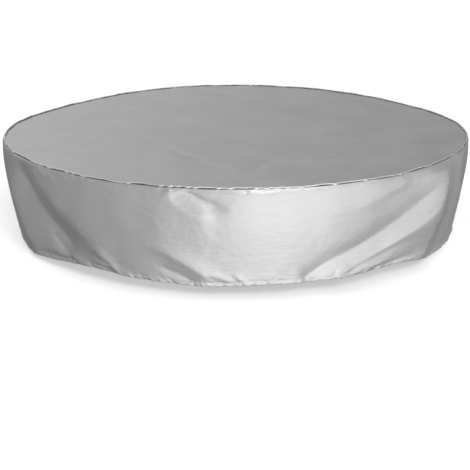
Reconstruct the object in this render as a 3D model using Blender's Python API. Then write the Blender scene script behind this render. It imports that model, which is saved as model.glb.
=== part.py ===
"""Fitted cover for a round spa: a sewn cloth top with a hanging skirt and an elastic hem.

The frame: origin at the centre of the top's underside, where the cover rests on the spa, +Z up.
The front is -Y. Azimuths are measured from the front towards +X.
"""

import math

import bmesh
import bpy
from mathutils import Vector

# ---------------------------------------------------------------- driving dimensions, in metres
RIM_RADIUS = 0.900         # the skirt's outer face at the rim
SKIRT_DROP = 0.335         # from the top's underside down to the hem, at front and rear
SIDE_DROP = 0.027          # how much lower the hem hangs at the two sides
CLOTH = 0.0010             # coated cloth, with its coating and weave
TAPE = 0.0005              # binding and sealing tapes
PIPING_CLOTH = 0.0006
PIPING_CORD_RADIUS = 0.0012
ELASTIC_RADIUS = 0.0020
THREAD = 0.0006
GAP = 0.0003               # between neighbours that touch on the real cover

SEAM_ALLOWANCE = 0.012     # how far the raw edges of the rim seam reach down inside
TOP_FLAT_RADIUS = 0.560    # the middle of the top lies flat; outside it the cloth rises to the rim
TOP_RISE = 0.0003
TOP_SEAM_Y = 0.600         # where the roll's width ends and the rear segment is joined on
SEAM_TAPE_WIDTH = 0.024
STITCH_ROW_OFFSET = 0.005  # from a joining seam to the thread row on each side of it
HEM_CHANNEL = 0.016        # height of the stitched hem channel
HEM_TURN_RADIUS = 0.0035   # of the fold at the bottom of the channel, at mid-cloth
HEM_EDGE = 0.022           # height that the turned-in cloth reaches above the hem

# The skirt swells a little over the rim, then draws in to the hem: its outer radius, as a share
# of RIM_RADIUS, is 1 + SWELL * s + DRAW_IN * s**2 + EASE * s**3, where s runs 0 to 1 down it.
SWELL, DRAW_IN, EASE = 0.061, -0.180, 0.081

SEGMENTS = 64              # facets round the cover; every ring shares them
FULL_TURN = 2.0 * math.pi
SIDE = math.pi / 2.0       # azimuth of the right-hand skirt seam; the left one is its opposite

# Layers of the rim seam: how far each one's mid-surface lies inside RIM_RADIUS
SKIRT_LAYER = CLOTH / 2
BINDING_OUTER = SKIRT_LAYER + CLOTH / 2 + GAP + TAPE / 2
SKIRT_ALLOWANCE = BINDING_OUTER + TAPE / 2 + GAP + CLOTH / 2
PIPING_FLANGE_OUTER = SKIRT_ALLOWANCE + CLOTH / 2 + GAP + PIPING_CLOTH / 2
PIPING_FLANGE_INNER = PIPING_FLANGE_OUTER + PIPING_CLOTH + 0.0004
TOP_FLANGE = PIPING_FLANGE_INNER + PIPING_CLOTH / 2 + GAP + CLOTH / 2
BINDING_INNER = TOP_FLANGE + CLOTH / 2 + GAP + TAPE / 2
RIM_THREAD = BINDING_INNER + TAPE / 2 + GAP + THREAD / 2

PIPING_CENTRE_INSET = (PIPING_FLANGE_OUTER + PIPING_FLANGE_INNER) / 2
PIPING_MID_RADIUS = PIPING_CORD_RADIUS + GAP + PIPING_CLOTH / 2
PIPING_CENTRE_Z = TOP_RISE + CLOTH + GAP + PIPING_MID_RADIUS + PIPING_CLOTH / 2


# ---------------------------------------------------------------- the skirt's shape
def skirt_radius(z):
    """Outer radius of the skirt at height z, which is zero or below."""
    s = -z / SKIRT_DROP
    return RIM_RADIUS * (1 + SWELL * s + DRAW_IN * s ** 2 + EASE * s ** 3)


def skirt_rows():
    """Heights of the skirt's rows of facets, from the rim down to the top of the hem channel."""
    channel_top = -SKIRT_DROP + HEM_CHANNEL
    return [channel_top * share for share in (0.0, 0.25, 0.5, 0.75, 1.0)]


def faceted_radius(z):
    """Outer radius of the skirt at height z, measured on its flat rows of facets."""
    rows = skirt_rows()
    for upper, lower in zip(rows, rows[1:]):
        if z >= lower:
            share = (upper - z) / (upper - lower)
            return skirt_radius(upper) * (1 - share) + skirt_radius(lower) * share
    return skirt_radius(z)


def smooth_step(low, high, value):
    t = min(max((value - low) / (high - low), 0.0), 1.0)
    return t * t * (3 - 2 * t)


def side_share(azimuth):
    """0 at the front and rear, 1 round the two sides, where the hem hangs lower."""
    return smooth_step(math.sin(math.radians(35)), math.sin(math.radians(70)), abs(math.sin(azimuth)))


def hung(z, azimuth):
    """A height on the level cover, moved down to where the real cloth hangs at this azimuth."""
    return z - SIDE_DROP * side_share(azimuth) * smooth_step(0.03, 0.28, -z)


def on_facet(radius, azimuth):
    """The radius at which the ring's flat facet passes through this azimuth."""
    half = math.pi / SEGMENTS
    offset = (azimuth % (2 * half)) - half
    return radius * math.cos(half) / math.cos(offset)


def place(radius, azimuth, z):
    """A point at this azimuth, counted from the front (-Y) towards +X."""
    return Vector((radius * math.sin(azimuth), -radius * math.cos(azimuth), hung(z, azimuth)))


# ---------------------------------------------------------------- sections, as (radius, z) points
def thick_outline(midline, thickness):
    """The closed outline of a strip of this thickness that follows an open midline."""
    near, far = [], []
    for i, point in enumerate(midline):
        before = midline[max(i - 1, 0)]
        after = midline[min(i + 1, len(midline) - 1)]
        steps = [Vector(point) - Vector(before), Vector(after) - Vector(point)]
        normals = [Vector((-s.y, s.x)).normalized() for s in steps if s.length > 1e-9]
        normal = sum(normals, Vector((0, 0))).normalized()
        half = thickness / 2 / max(normal.dot(normals[0]), 0.5)
        near.append(tuple(Vector(point) + normal * half))
        far.append(tuple(Vector(point) - normal * half))
    return near + far[::-1]


def arc(centre_r, centre_z, radius, start_deg, end_deg, steps):
    """Points along an arc, both ends included."""
    points = []
    for i in range(steps + 1):
        a = math.radians(start_deg + (end_deg - start_deg) * i / steps)
        points.append((centre_r + radius * math.cos(a), centre_z + radius * math.sin(a)))
    return points


def block_outline(radius, z, width, height):
    """A small rectangle centred on (radius, z)."""
    w, h = width / 2, height / 2
    return [(radius - w, z - h), (radius + w, z - h), (radius + w, z + h), (radius - w, z + h)]


# ---------------------------------------------------------------- mesh makers
def finish_object(name, mesh_builder, material):
    """Turn a bmesh into a closed, outward-facing, smooth-shaded object."""
    bmesh.ops.recalc_face_normals(mesh_builder, faces=mesh_builder.faces)
    mesh = bpy.data.meshes.new(name)
    mesh_builder.to_mesh(mesh)
    mesh_builder.free()
    mesh.shade_smooth()
    mesh.set_sharp_from_angle(angle=math.radians(40))
    mesh.materials.append(material)
    made = bpy.data.objects.new(name, mesh)
    bpy.context.scene.collection.objects.link(made)
    return made


def turn_section(outline, start=0.0, sweep=FULL_TURN, closed_outline=True):
    """Spin an outline about Z from one azimuth through a sweep, and cap a part turn's two ends."""
    builder = bmesh.new()
    verts = [builder.verts.new((r * math.sin(start), -r * math.cos(start), z)) for r, z in outline]
    pairs = list(zip(verts, verts[1:]))
    if closed_outline:
        pairs.append((verts[-1], verts[0]))
    edges = [builder.edges.new(pair) for pair in pairs]
    steps = max(round(SEGMENTS * sweep / FULL_TURN), 1)
    bmesh.ops.spin(
        builder, geom=verts + edges, cent=(0, 0, 0), axis=(0, 0, 1), angle=sweep, steps=steps,
    )
    bmesh.ops.remove_doubles(builder, verts=builder.verts, dist=0.00002)
    close_openings(builder)
    return builder


def close_openings(builder):
    """Fill each open loop of edges with one face."""
    loose = [edge for edge in builder.edges if edge.is_boundary]
    while loose:
        loop, reached = [loose[0]], set(loose[0].verts)
        grew = True
        while grew:
            grew = False
            for edge in loose:
                if edge not in loop and (edge.verts[0] in reached or edge.verts[1] in reached):
                    loop.append(edge)
                    reached.update(edge.verts)
                    grew = True
        bmesh.ops.contextual_create(builder, geom=loop)
        loose = [edge for edge in loose if edge not in loop]


def hang_mesh(builder):
    """Lower the sides of a turned piece to where the cloth hangs."""
    for vert in builder.verts:
        azimuth = math.atan2(vert.co.x, -vert.co.y)
        vert.co.z = hung(vert.co.z, azimuth)


def ring(name, outline, material):
    """A piece that runs all the way round the cover."""
    builder = turn_section(outline)
    hang_mesh(builder)
    return finish_object(name, builder, material)


def strip_down_skirt(name, azimuth, width, thickness, inset, z_top, z_bottom, material, columns=1):
    """A narrow strip that runs down the skirt, its outer face set in from the skirt's outer face.

    A negative inset puts it outside the cloth.
    """
    heights = [z_top] + [z for z in skirt_rows() if z_bottom < z < z_top] + [z_bottom]
    builder = bmesh.new()
    sections = []
    for z in heights:
        outer = faceted_radius(z) - inset
        section = []
        for radius, order in ((outer, 1), (outer - thickness, -1)):
            side = []
            for column in range(columns + 1):
                across = (column / columns - 0.5) * width
                turn = azimuth + across / RIM_RADIUS
                side.append(place(on_facet(radius, turn), turn, z))
            section += side[::order]
        sections.append([builder.verts.new(point) for point in section])
    count = len(sections[0])
    for upper, lower in zip(sections, sections[1:]):
        for i in range(count):
            j = (i + 1) % count
            builder.faces.new((upper[i], upper[j], lower[j], lower[i]))
    builder.faces.new(sections[0])
    builder.faces.new(sections[-1])
    return finish_object(name, builder, material)


def bar_across_top(name, y, z, width, height, material):
    """A straight strip lying along the top's joining seam."""
    reach = RIM_RADIUS - TOP_FLANGE - 0.004
    half_length = math.sqrt(reach ** 2 - (abs(y) + width / 2) ** 2)
    builder = bmesh.new()
    bmesh.ops.create_cube(builder, size=1.0)
    bmesh.ops.scale(builder, vec=(2 * half_length, width, height), verts=builder.verts)
    bmesh.ops.translate(builder, vec=(0, y, z), verts=builder.verts)
    return finish_object(name, builder, material)


# ---------------------------------------------------------------- materials
def make_material(name, color, roughness, metallic=0.0):
    material = bpy.data.materials.new(name)
    material.use_nodes = True
    shader = material.node_tree.nodes["Principled BSDF"]
    shader.inputs["Base Color"].default_value = (*color, 1.0)
    shader.inputs["Roughness"].default_value = roughness
    shader.inputs["Metallic"].default_value = metallic
    return material


# ---------------------------------------------------------------- the cover's pieces
def top_panels(material):
    """The top cloth: a disc whose edge turns down into the rim seam, cut by the joining seam."""
    edge = RIM_RADIUS - TOP_FLANGE
    middle = CLOTH / 2
    turn = 0.0013
    midline = [(0, middle), (TOP_FLAT_RADIUS, middle)]
    midline += arc(edge - turn, middle + TOP_RISE - turn, turn, 90, 0, 2)
    midline.append((edge, -SEAM_ALLOWANCE))
    outline = thick_outline(midline, CLOTH)
    for name, keep_rear in (("top_panel_main", False), ("top_panel_rear", True)):
        builder = turn_section(outline, closed_outline=False)
        side = 1 if keep_rear else -1
        bmesh.ops.bisect_plane(
            builder, geom=builder.verts[:] + builder.edges[:] + builder.faces[:], dist=1e-6,
            plane_co=(0, TOP_SEAM_Y + side * GAP / 2, 0), plane_no=(0, -side, 0), clear_outer=True,
        )
        close_openings(builder)
        finish_object(name, builder, material)


def skirt_halves(material):
    """Two halves of the skirt: folded in at the rim seam, and turned up inside as the hem channel."""
    fold_radius = (SKIRT_ALLOWANCE - SKIRT_LAYER) / 2
    fold_centre = RIM_RADIUS - (SKIRT_ALLOWANCE + SKIRT_LAYER) / 2
    fold_z = CLOTH - fold_radius - CLOTH / 2
    midline = [(RIM_RADIUS - SKIRT_ALLOWANCE, -SEAM_ALLOWANCE)]
    midline += arc(fold_centre, fold_z, fold_radius, 180, 0, 4)
    rows = skirt_rows()
    hem_start = rows[-1]
    for z in rows[1:]:
        midline.append((skirt_radius(z) - CLOTH / 2, z))
    outer = skirt_radius(-SKIRT_DROP) - CLOTH / 2
    turn_z = -SKIRT_DROP + CLOTH / 2 + HEM_TURN_RADIUS
    midline += arc(outer - HEM_TURN_RADIUS, turn_z, HEM_TURN_RADIUS, 0, -180, 4)
    inner = skirt_radius(hem_start) - CLOTH / 2 - CLOTH - GAP
    midline.append((inner, hem_start))
    midline.append((inner + 0.0004, -SKIRT_DROP + HEM_EDGE))
    outline = thick_outline(midline, CLOTH)
    clearance = GAP / 2 / RIM_RADIUS
    for name, start in (("skirt_front", -SIDE), ("skirt_rear", SIDE)):
        builder = turn_section(outline, start + clearance, math.pi - 2 * clearance)
        hang_mesh(builder)
        finish_object(name, builder, material)


def rim_piping(material, cord_material):
    """A strip folded round a filler cord, with both its flanges caught in the rim seam."""
    centre_r = RIM_RADIUS - PIPING_CENTRE_INSET
    half_slit = math.degrees(math.asin((PIPING_FLANGE_INNER - PIPING_FLANGE_OUTER) / 2 / PIPING_MID_RADIUS))
    midline = [(RIM_RADIUS - PIPING_FLANGE_OUTER, -SEAM_ALLOWANCE)]
    midline += arc(centre_r, PIPING_CENTRE_Z, PIPING_MID_RADIUS, -90 + half_slit, 270 - half_slit, 7)
    midline.append((RIM_RADIUS - PIPING_FLANGE_INNER, -SEAM_ALLOWANCE))
    ring("rim_piping", thick_outline(midline, PIPING_CLOTH), material)
    cord = arc(centre_r, PIPING_CENTRE_Z, PIPING_CORD_RADIUS, 0, 300, 5)
    ring("rim_piping_cord", cord, cord_material)


def rim_binding(material):
    """A tape folded over the raw edges of the rim seam."""
    bottom = -SEAM_ALLOWANCE - GAP - TAPE / 2
    top = -0.0025
    outer, inner = RIM_RADIUS - BINDING_OUTER, RIM_RADIUS - BINDING_INNER
    midline = [(outer, top), (outer, bottom), (inner, bottom), (inner, top)]
    ring("rim_binding", thick_outline(midline, TAPE), material)


def hem_elastic(material):
    """The elastic cord, joined into one loop, in the hem channel."""
    centre_r = skirt_radius(-SKIRT_DROP) - CLOTH / 2 - HEM_TURN_RADIUS
    centre_z = -SKIRT_DROP + CLOTH / 2 + HEM_TURN_RADIUS
    ring("hem_elastic", arc(centre_r, centre_z, ELASTIC_RADIUS, 0, 300, 5), material)


def stitch_rows(material):
    """Thread rows: the rim seam's inside the cover, the hem's outside, and two down each side seam."""
    rim_z = -SEAM_ALLOWANCE * 0.4
    ring("rim_stitching", block_outline(RIM_RADIUS - RIM_THREAD, rim_z, THREAD, THREAD), material)
    hem_z = -SKIRT_DROP + HEM_CHANNEL
    outside = GAP + THREAD / 2
    ring("hem_stitching", block_outline(skirt_radius(hem_z) + outside, hem_z, THREAD, THREAD), material)
    for side, azimuth in (("right", SIDE), ("left", -SIDE)):
        for row, sign in (("front", -1), ("rear", 1)):
            if side == "left":
                sign = -sign
            strip_down_skirt(
                f"side_seam_stitch_{side}_{row}",
                azimuth + sign * STITCH_ROW_OFFSET / RIM_RADIUS, THREAD, THREAD, -GAP - THREAD,
                z_top=-0.006, z_bottom=hem_z + 0.004, material=material,
            )
    for row, sign in (("front", -1), ("rear", 1)):
        bar_across_top(
            f"top_seam_stitch_{row}", TOP_SEAM_Y + sign * STITCH_ROW_OFFSET,
            TOP_RISE + CLOTH + GAP + THREAD / 2, THREAD, THREAD, material,
        )


def seam_tapes(material):
    """Sealing tapes on the inside of the joining seams of the top and of the skirt."""
    bar_across_top("top_seam_tape", TOP_SEAM_Y, -GAP - TAPE / 2, SEAM_TAPE_WIDTH, TAPE, material)
    for side, azimuth in (("right", SIDE), ("left", -SIDE)):
        strip_down_skirt(
            f"side_seam_tape_{side}", azimuth, SEAM_TAPE_WIDTH, TAPE, CLOTH + 2 * GAP,
            z_top=-SEAM_ALLOWANCE - 0.004, z_bottom=-SKIRT_DROP + HEM_EDGE + 0.002,
            material=material, columns=2,
        )


def main():
    for old in list(bpy.data.objects):
        bpy.data.objects.remove(old, do_unlink=True)
    silver_cloth = make_material("silver_cloth", (0.50, 0.51, 0.52), 0.42, 0.35)
    piping_cloth = make_material("piping_cloth", (0.56, 0.57, 0.58), 0.40, 0.35)
    grey_tape = make_material("grey_tape", (0.30, 0.31, 0.32), 0.65)
    white_cord = make_material("white_cord", (0.70, 0.70, 0.68), 0.85)
    grey_thread = make_material("grey_thread", (0.42, 0.43, 0.44), 0.70)
    black_elastic = make_material("black_elastic", (0.05, 0.05, 0.055), 0.75)

    top_panels(silver_cloth)
    skirt_halves(silver_cloth)
    rim_piping(piping_cloth, white_cord)
    rim_binding(grey_tape)
    hem_elastic(black_elastic)
    stitch_rows(grey_thread)
    seam_tapes(grey_tape)


main()
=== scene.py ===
"""The looks of a fitted cloth cover for a round spa: silver-coated cloth, folded and gathered.

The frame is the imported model's: origin at the centre of the top's underside, +Z up, front at -Y.
Azimuths are measured from the front (-Y) towards +X. "Drop" runs from 0 at the rim to 1 at the hem.
"""

import math

import bmesh
import bpy
import numpy as np
from mathutils import Euler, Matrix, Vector


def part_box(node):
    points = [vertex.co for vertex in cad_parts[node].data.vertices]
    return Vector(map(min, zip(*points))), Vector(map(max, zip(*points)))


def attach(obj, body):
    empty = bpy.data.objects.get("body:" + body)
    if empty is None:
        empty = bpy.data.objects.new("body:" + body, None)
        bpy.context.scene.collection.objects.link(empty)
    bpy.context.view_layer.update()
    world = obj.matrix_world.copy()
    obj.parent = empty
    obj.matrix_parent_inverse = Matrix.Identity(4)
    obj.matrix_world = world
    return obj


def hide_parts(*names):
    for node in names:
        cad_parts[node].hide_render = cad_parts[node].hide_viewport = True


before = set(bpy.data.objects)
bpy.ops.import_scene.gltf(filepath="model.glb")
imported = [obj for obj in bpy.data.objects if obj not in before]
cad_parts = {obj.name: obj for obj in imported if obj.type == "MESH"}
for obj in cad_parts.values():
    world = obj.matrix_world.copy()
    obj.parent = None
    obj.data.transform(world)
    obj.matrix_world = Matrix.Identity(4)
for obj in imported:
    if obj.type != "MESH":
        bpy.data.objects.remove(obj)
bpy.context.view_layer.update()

# ---- sizes, in metres
RIM_RADIUS = 0.9           # the skirt's outer face at the rim
RIM_LENGTH = 2 * math.pi * RIM_RADIUS
SKIRT_DROP = 0.335
SIDE_DROP = 0.027          # how much lower the hem hangs at the two sides
SWELL, DRAW_IN, EASE = 0.061, -0.18, 0.081   # the skirt's profile, as in the CAD solid
TOP_SEAM_Y = (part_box("top_panel_main")[1][1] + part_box("top_panel_rear")[0][1]) / 2

CLOTH = 0.0008
TAPE = 0.0005
PIPING_CLOTH = 0.0005
THREAD = 0.0006
GAP = 0.0003
TOP_RISE = 0.0002          # the top cloth's lower face over the resting plane
TOP_LEVEL = 0.0006         # the top cloth's middle over that plane
# Cuts beside the top's joining seam, from far to near; the last one is the cloth's edge
NEAR_TOP_SEAM = (0.016, 0.011, 0.008, 0.0055, 0.003, 0.0014, 0.00015)
SEAM_ALLOWANCE = 0.012
HEM_CHANNEL = 0.016        # from the hem up to its stitching
HEM_TURN_RADIUS = 0.0034
HEM_EDGE = 0.022           # height that the turned-in cloth reaches above the hem
SEAM_TAPE_WIDTH = 0.024
STITCH_ROW_OFFSET = 0.005
STITCH_PITCH = 0.005
SIDE_SEAMS = (("right", math.pi / 2), ("left", -math.pi / 2))

# How far each layer of the rim seam lies inside RIM_RADIUS, at mid-thickness
BINDING_OUTER, SKIRT_ALLOWANCE, PIPING_OUTER = 0.00155, 0.0026, 0.0037
PIPING_INNER, TOP_FLANGE, BINDING_INNER = 0.0047, 0.0058, 0.00685
BEAD_INSET, BEAD_Z, BEAD_RADIUS, CORD_RADIUS = 0.0042, 0.0047, 0.0021, 0.0015
ELASTIC_RADIUS = 0.002
TOP_EDGE = RIM_RADIUS - TOP_FLANGE

# Heights of the small shapes on the skirt and on the top
SLACK, CREASE, RIPPLE, GROOVE, SHOULDER = 0.004, 0.0004, 0.00035, 0.0014, 0.001
CHANNEL_DENT, CHANNEL_SWELL, CRIMP, ROLL = 0.0015, 0.0007, 0.0003, 0.0024
TOP_SLACK, TOP_YARNS, TOP_CREASE, TOP_RIDGE, TOP_GROOVE = 0.0022, 0.0005, 0.0009, 0.0007, 0.0006

RELIEF_ROWS, RELIEF_COLUMNS = 201, 2881   # the grid that the skirt's folds are drawn on
SKIRT_ROWS, SKIRT_COLUMNS = 54, 660   # mesh rows down the skirt's face, columns round half of it
TOP_RINGS, TOP_COLUMNS = 61, 700
PIPING_COLUMNS, CORD_COLUMNS, BINDING_COLUMNS, ELASTIC_COLUMNS = 1500, 900, 720, 1400
CORD_SIDES, THREAD_SIDES = 10, 6
SILVER, LINING = 0, 1      # material slots of every cloth piece

# Seeds of everything that is spread at random
KNOT_SEED, GATHER_SEED, PUCKER_SEED, WANDER_SEED, EDGE_SEED = 3, 5, 8, 11, 17
SLACK_SEED, CREASE_SEED, RIPPLE_SEED, SEAM_SEED, CRIMP_SEED = 21, 31, 41, 43, 47
TOP_SLACK_SEED, TOP_YARN_SEED, TOP_CREASE_SEED, STRAY_SEED, SWELL_SEED = 51, 61, 71, 81, 91


# ---- small maths
def smooth_step(low, high, value):
    t = np.clip((value - low) / (high - low), 0.0, 1.0)
    return t * t * (3 - 2 * t)


def bell(value, centre, width):
    return np.exp(-(((value - centre) / width) ** 2))


def full_turn(count):
    return np.linspace(0, 2 * math.pi, count, endpoint=False)


def stacked(*values):
    """Values of any matching shapes as the last axis of one array."""
    return np.stack(np.broadcast_arrays(*values), -1)


def as_columns(rows):
    return [np.array(column)[:, None] for column in zip(*rows)]


def turn_apart(azimuth, centre_deg):
    """Angle in degrees from an azimuth to a centre, the short way round."""
    return (np.degrees(azimuth) - centre_deg + 180.0) % 360.0 - 180.0


def soft_noise(x, y, seed):
    """Smooth noise in about -1 to 1 on a unit lattice, the same on every run."""
    rng = np.random.default_rng(seed)
    size = 256             # lattice cells before the noise repeats
    lattice = rng.uniform(-1, 1, (size, size))
    xi, yi = np.floor(x).astype(int), np.floor(y).astype(int)
    fx, fy = x - xi, y - yi
    fx, fy = fx * fx * (3 - 2 * fx), fy * fy * (3 - 2 * fy)
    a = lattice[xi % size, yi % size]
    b = lattice[(xi + 1) % size, yi % size]
    c = lattice[xi % size, (yi + 1) % size]
    d = lattice[(xi + 1) % size, (yi + 1) % size]
    return (a * (1 - fx) + b * fx) * (1 - fy) + (c * (1 - fx) + d * fx) * fy


def layered_noise(x, y, seed, layers=2):
    """Soft noise with finer and fainter layers on it."""
    total, weight = 0.0, 1.0
    for layer in range(layers):
        total = total + weight * soft_noise(x * 2 ** layer, y * 2 ** layer, seed + layer)
        weight *= 0.5
    return total


def spline(points, count=24):
    """A smooth curve through given points."""
    p = np.array(points, float)
    p = np.vstack([2 * p[0] - p[1], p, 2 * p[-1] - p[-2]])
    out = []
    spans = len(p) - 3
    for t in np.linspace(0, spans, count):
        i = min(int(t), spans - 1)
        u = t - i
        a, b, c, d = p[i:i + 4]
        out.append(0.5 * (2 * b + (c - a) * u + (2 * a - 5 * b + 4 * c - d) * u ** 2
                          + (3 * b - a - 3 * c + d) * u ** 3))
    return np.array(out)


# ---- folds drawn on the cloth
FOLD_REACH = 3.6           # widths from its line at which a fold is taken to have died out


class Fold:
    """A crease line on flat cloth. Its height is positive for a ridge and negative for a valley.

    widths are how far the flank on each side of the line reaches: first the side to the line's
    left as it runs, then the right. sharp is 1 for a cusped crest and 2 for a round one.
    """

    def __init__(self, points, height, widths, sharp=1.4, fade=(0.15, 0.15), count=24):
        self.line = spline(points, count)
        self.height, self.widths, self.sharp, self.fade = height, widths, sharp, fade

    def relief(self, x, y):
        reach = FOLD_REACH * max(self.widths)
        low, high = self.line.min(0) - reach, self.line.max(0) + reach
        near = (x > low[0]) & (x < high[0]) & (y > low[1]) & (y < high[1])
        out = np.zeros_like(x)
        if not near.any():
            return out
        px, py = x[near], y[near]
        best = np.full(px.shape, np.inf)
        side = np.zeros(px.shape)
        along = np.zeros(px.shape)
        count = len(self.line) - 1
        for i in range(count):
            ax, ay = self.line[i]
            dx, dy = self.line[i + 1] - self.line[i]
            length2 = dx * dx + dy * dy
            t = np.clip(((px - ax) * dx + (py - ay) * dy) / length2, 0, 1)
            ex, ey = px - ax - t * dx, py - ay - t * dy
            d = ex * ex + ey * ey
            closer = d < best
            best[closer] = d[closer]
            side[closer] = (dx * ey - dy * ex)[closer]
            along[closer] = ((i + t) / count)[closer]
        width = np.where(side > 0, self.widths[0], self.widths[1])
        shape = np.exp(-(np.sqrt(best) / width) ** self.sharp)
        start, end = self.fade
        least = 1e-3       # keeps a start with no fade at full height
        taper = smooth_step(0, max(start, least), along + least) * smooth_step(0, end, 1 - along)
        out[near] = self.height * shape * taper
        return out


def on_skirt(points):
    """Given (azimuth in degrees, drop) points as metres on the unrolled skirt."""
    return [(math.radians(a) * RIM_RADIUS, s * SKIRT_DROP) for a, s in points]


# The drag folds that show at the front. The right-hand group runs from the rim down to one pinch
# in the hem, the left-hand group fans out from the rim, and a leaf-shaped dent lies between them.
# Each row is a line of (azimuth in degrees, drop) points, then the height, widths, sharpness and
# fades of its fold, as Fold takes them.
FRONT_STROKES = [
    ([(14, 0.99), (19, 0.83), (27, 0.69), (36, 0.5), (44, 0.31), (52, 0.13)],
     -0.013, (0.025, 0.031), 1.35, (0.05, 0.28)),
    ([(19, 1.0), (26, 0.9), (34, 0.76), (42, 0.58), (48, 0.42), (52, 0.24)],
     0.018, (0.074, 0.022), 1.6, (0.1, 0.3)),
    ([(22.5, 1.02), (27, 0.9), (31, 0.84), (36, 0.775), (45, 0.68)],
     -0.01, (0.022, 0.03), 1.5, (0.2, 0.4)),
    ([(53.2, -0.1), (51.7, 0.15), (49.2, 0.5), (46.3, 0.97), (44.3, 1.35)],
     0.026, (0.125, 0.085), 1.4, (0.34, 0.3)),
    ([(-60, 0.03), (-55, 0.24), (-49, 0.46), (-43, 0.66), (-37, 0.9)],
     -0.021, (0.056, 0.05), 1.45, (0.3, 0.2)),
    ([(-52, 0.03), (-45, 0.24), (-38, 0.47), (-32, 0.7), (-27, 0.92)],
     0.008, (0.05, 0.08), 1.8, (0.25, 0.2)),
    ([(-67, 0.16), (-62, 0.42), (-58, 0.7), (-54, 0.95), (-50, 1.25)],
     0.017, (0.085, 0.066), 1.6, (0.3, 0.38)),
    ([(-47, 0.66), (-44, 0.8), (-40, 0.97)], -0.006, (0.016, 0.02), 1.5, (0.4, 0.05)),
    ([(-20, 0.57), (-13, 0.7), (-8, 0.83), (-4.5, 0.96)],
     0.0085, (0.022, 0.034), 1.5, (0.4, 0.25)),
    ([(-18, 0.8), (-13, 0.88), (-8, 0.97)], -0.005, (0.014, 0.014), 1.6, (0.4, 0.25)),
    ([(-33, 0.76), (-29, 0.86), (-26, 0.98)], 0.005, (0.014, 0.02), 1.6, (0.4, 0.25)),
    ([(-22, 0.97), (-29, 0.93), (-37, 0.89)], 0.0032, (0.009, 0.009), 1.5, (0.2, 0.5)),
    ([(-33, 0.97), (-41, 0.92), (-50, 0.86)], 0.004, (0.01, 0.01), 1.5, (0.2, 0.5)),
    ([(-38, 0.99), (-46, 0.95), (-55, 0.91)], -0.0034, (0.008, 0.01), 1.5, (0.2, 0.5)),
    ([(24, 0.98), (32, 0.93), (41, 0.89)], 0.004, (0.009, 0.009), 1.5, (0.2, 0.5)),
    ([(29, 0.99), (37, 0.95), (45, 0.9)], -0.0036, (0.008, 0.009), 1.5, (0.2, 0.5)),
    ([(36, 0.99), (43, 0.96), (50, 0.9)], 0.0034, (0.008, 0.01), 1.5, (0.2, 0.5)),
    ([(-13, -0.1), (-9.8, 0.01), (-7.3, 0.09), (-4.3, 0.155), (-0.5, 0.2)],
     -0.0105, (0.025, 0.021), 1.25, (0.25, 0.3)),
    ([(-14.5, -0.08), (-13.4, 0.04), (-12.0, 0.15), (-9, 0.225), (-3.5, 0.258)],
     0.0062, (0.05, 0.02), 1.1, (0.3, 0.15)),
    ([(-6, 0.86), (-3, 0.9), (0, 0.96)], 0.004, (0.01, 0.01), 1.5, (0.3, 0.2)),
    ([(-1, 0.86), (1, 0.92), (2, 0.99)], 0.0035, (0.008, 0.01), 1.5, (0.3, 0.1)),
    ([(7, 0.99), (9, 0.8), (13, 0.55)], 0.002, (0.03, 0.03), 1.8, (0.1, 0.5)),
    ([(22, 0.3), (31, 0.16), (40, 0.04)], 0.0035, (0.022, 0.03), 1.7, (0.4, 0.2)),
    ([(-48, 0.0), (-46.5, 0.05), (-44, 0.11)], 0.0036, (0.007, 0.01), 1.4, (0.1, 0.6), 10),
    ([(-44.5, 0.0), (-43.5, 0.06), (-41, 0.12)], 0.0036, (0.006, 0.008), 1.4, (0.1, 0.6), 10),
    ([(-41, 0.0), (-39, 0.04), (-36, 0.075)], 0.0034, (0.006, 0.008), 1.4, (0.1, 0.6), 10),
    ([(66, 0.05), (69, 0.4), (66, 0.95)], -0.005, (0.07, 0.07), 1.8, (0.2, 0.2)),
]
FRONT_FOLDS = [Fold(on_skirt(line), *shape) for line, *shape in FRONT_STROKES]


def wandering_folds(seed, first_deg, last_deg, count):
    """Drag folds where no listed ones are: each runs from near the rim to near the hem."""
    rng = np.random.default_rng(seed)
    folds = []
    for i in range(count):
        start = first_deg + (last_deg - first_deg) * (i + rng.uniform(0.15, 0.85)) / count
        lean = rng.choice([-1, 1]) * rng.uniform(6, 22)
        upper, lower = rng.uniform(0.03, 0.35), rng.uniform(0.8, 1.0)
        bend = rng.uniform(-4, 4)
        points = [(start, upper),
                  (start + lean * 0.35 + bend, (upper * 2 + lower) / 3),
                  (start + lean * 0.72 + bend * 0.6, (upper + lower * 2) / 3),
                  (start + lean, lower)]
        height = rng.choice([-1, 1]) * rng.uniform(0.003, 0.009)
        width = rng.uniform(0.024, 0.052)
        folds.append(Fold(on_skirt(points), height, (width, width * rng.uniform(0.6, 1.5)),
                          rng.uniform(1.2, 1.7), (0.25, 0.15)))
    return folds


HEM_MIDDLE, HEM_TURN = 4, 16   # degrees: where the hem's pleats change their lean, and how fast


def gathers(seed):
    """Short pleats that the elastic pulls into the hem, all the way round.

    They lean away from a point near the middle of the front, as the folds above them do.
    """
    rng = np.random.default_rng(seed)
    folds = []
    azimuth = -180.0
    while azimuth < 180.0:
        azimuth += rng.uniform(0.5, 1.7)
        lean = rng.uniform(-1.4, 1.4) + 3.0 * math.tanh((azimuth - HEM_MIDDLE) / HEM_TURN)
        tall = rng.uniform(0.03, 0.085) * rng.choice([1.0, 1.0, 1.0, 1.9])
        points = [(azimuth - lean * 0.3, 1.04),
                  (azimuth + lean * 0.5, 1 - tall * 0.45),
                  (azimuth + lean, 1 - tall)]
        height = rng.choice([-1, 1]) * rng.uniform(0.001, 0.0032)
        width = rng.uniform(0.0024, 0.0052)
        folds.append(Fold(on_skirt(points), height, (width, width * rng.uniform(0.7, 1.5)),
                          1.4, (0, 0.8), 8))
    return folds


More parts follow.
